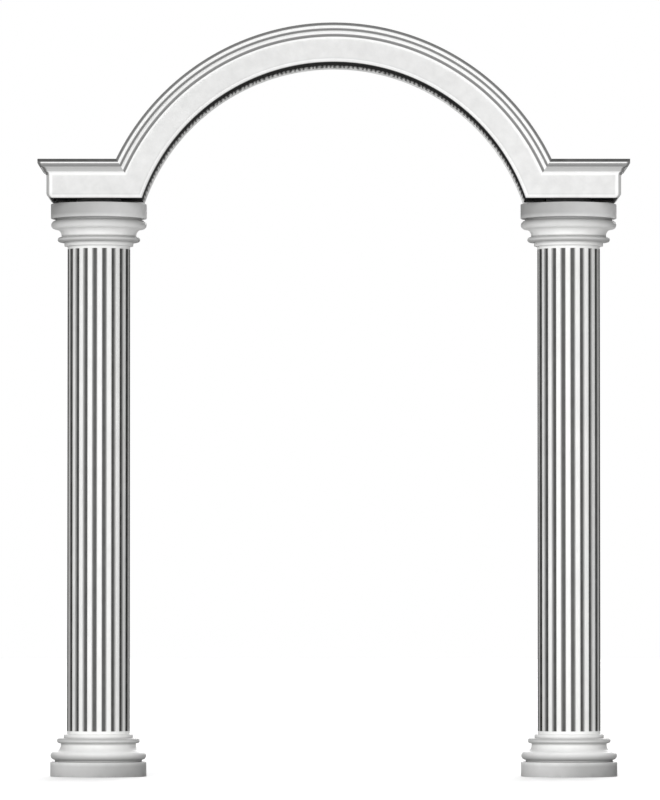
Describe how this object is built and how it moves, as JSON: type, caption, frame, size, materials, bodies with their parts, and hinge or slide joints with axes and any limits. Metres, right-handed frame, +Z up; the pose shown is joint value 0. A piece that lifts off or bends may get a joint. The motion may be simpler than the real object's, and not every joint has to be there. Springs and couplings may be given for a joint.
{
  "type": "columned arch portal",
  "caption": "Free-standing portal: fluted round columns on round plinths carry a boxed header, level over the columns and arched between, with a mitred cornice.",
  "frame": {"origin": "on the floor, midway between the two columns", "axes": "+Z up, +X from the left column to the right one as seen from the front, +Y from the front to the back"},
  "size_m": [2.353, 0.457, 2.9964],
  "materials": {
    "shaft_plaster": "matte",
    "moulding_plaster": "satin",
    "plinth_plaster": "satin",
    "header_plaster": "matte",
    "cornice_plaster": "matte"
  },
  "bodies": {
    "root": {"left_plinth": "plinth_plaster", "left_base_moulding": "moulding_plaster", "left_shaft": "shaft_plaster", "left_capital_moulding": "moulding_plaster", "left_abacus": "plinth_plaster", "left_bearing_pad": "plinth_plaster", "right_plinth": "plinth_plaster", "right_base_moulding": "moulding_plaster", "right_shaft": "shaft_plaster", "right_capital_moulding": "moulding_plaster", "right_abacus": "plinth_plaster", "right_bearing_pad": "plinth_plaster", "front_fascia": "header_plaster", "back_fascia": "header_plaster", "arch_soffit": "header_plaster", "left_bed_board": "header_plaster", "right_bed_board": "header_plaster", "left_end_board": "header_plaster", "right_end_board": "header_plaster", "left_top_board": "header_plaster", "arch_top_board": "header_plaster", "right_top_board": "header_plaster", "front_left_cornice": "cornice_plaster", "front_arch_cornice": "cornice_plaster", "front_right_cornice": "cornice_plaster", "back_left_cornice": "cornice_plaster", "back_arch_cornice": "cornice_plaster", "back_right_cornice": "cornice_plaster", "left_end_cornice": "cornice_plaster", "right_end_cornice": "cornice_plaster"}
  },
  "joints": []
}
